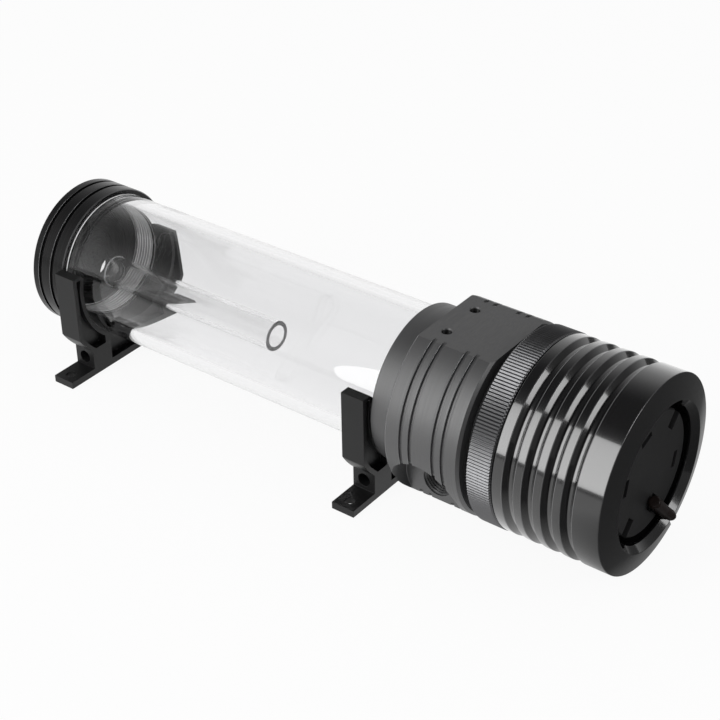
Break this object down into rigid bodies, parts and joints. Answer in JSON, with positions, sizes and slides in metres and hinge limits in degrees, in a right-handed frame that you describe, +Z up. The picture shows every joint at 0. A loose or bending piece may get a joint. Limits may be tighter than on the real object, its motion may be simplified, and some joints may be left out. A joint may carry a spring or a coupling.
{
  "type": "coolant pump reservoir",
  "caption": "Clear tube reservoir with a screwed end cap, a magnetically driven pump in a finned black housing, base clamps and a coiled power cable.",
  "frame": {"origin": "midway between the four foot holes, on the plane that the feet stand on", "axes": "+X along the tube towards the pump, +Z up from the feet to the tube, the outlet port faces -Y"},
  "size_m": [0.2928, 0.1377, 0.0806],
  "materials": {
    "anodised_black": "satin black anodised",
    "knurl_black": "machined, bright edges on black",
    "polished_black": "gloss black anodised",
    "clear_acrylic": "polished clear",
    "clamp_black": "moulded matte black",
    "plate_black": "moulded matte",
    "motor_black": "moulded matte",
    "grey_plastic": "moulded",
    "plug_black": "moulded",
    "chip_black": "moulded",
    "board_green": "varnished",
    "ceramic": "polished ceramic",
    "carbon": "sintered carbon",
    "ferrite": "sintered ferrite",
    "stainless": "ground",
    "lamination_steel": "stamped",
    "copper": "enamelled wire",
    "contact_tin": "tinned",
    "seal_rubber": "moulded",
    "cable_sleeve": "braided sleeve"
  },
  "bodies": {
    "reservoir": {"end_cap": "anodised_black", "end_cap_oring": "seal_rubber", "return_pipe": "clear_acrylic", "reservoir_tube": "clear_acrylic", "pump_top_oring": "seal_rubber", "pump_top": "anodised_black", "motor_oring": "seal_rubber", "motor_housing": "grey_plastic", "bearing_post": "stainless", "bearing_ball": "ceramic", "stator_core": "lamination_steel", "stator_coils": "copper", "circuit_board": "board_green", "board_parts": "chip_black", "motor_shell": "motor_black", "retaining_ring": "knurl_black", "heatsink_cover": "polished_black", "rear_plate": "plate_black", "cable_gland": "seal_rubber", "pump_cable": "cable_sleeve", "cable_coil": "cable_sleeve", "cable_tail": "cable_sleeve", "power_plug": "plug_black", "plug_contacts": "contact_tin", "clamp_cap_end": "clamp_black", "clamp_pump_end": "clamp_black"},
    "rotor": {"impeller": "grey_plastic", "rotor_magnet": "ferrite", "bearing_cup": "carbon"},
    "plug_seal": {"fill_plug_oring": "seal_rubber"},
    "plug": {"fill_plug": "anodised_black"}
  },
  "joints": [
    {"name": "rotor_spin", "type": "hinge", "parent": "reservoir", "child": "rotor", "pos_m": [0.1299, 0, 0.041], "axis": [1, 0, 0], "continuous": true},
    {"name": "plug_travel", "type": "slide", "parent": "reservoir", "child": "plug_seal", "axis": [-1, 0, 0], "range_m": [0, 0.0075]},
    {"name": "plug_turn", "type": "hinge", "parent": "plug_seal", "child": "plug", "pos_m": [-0.0996, -0.00779, 0.05347], "axis": [-1, 0, 0], "range_deg": [0, 2016]}
  ],
  "couplings": [
    {"joint": "plug_travel", "follows": "plug_turn", "m_per_rad": 0.0002128}
  ]
}
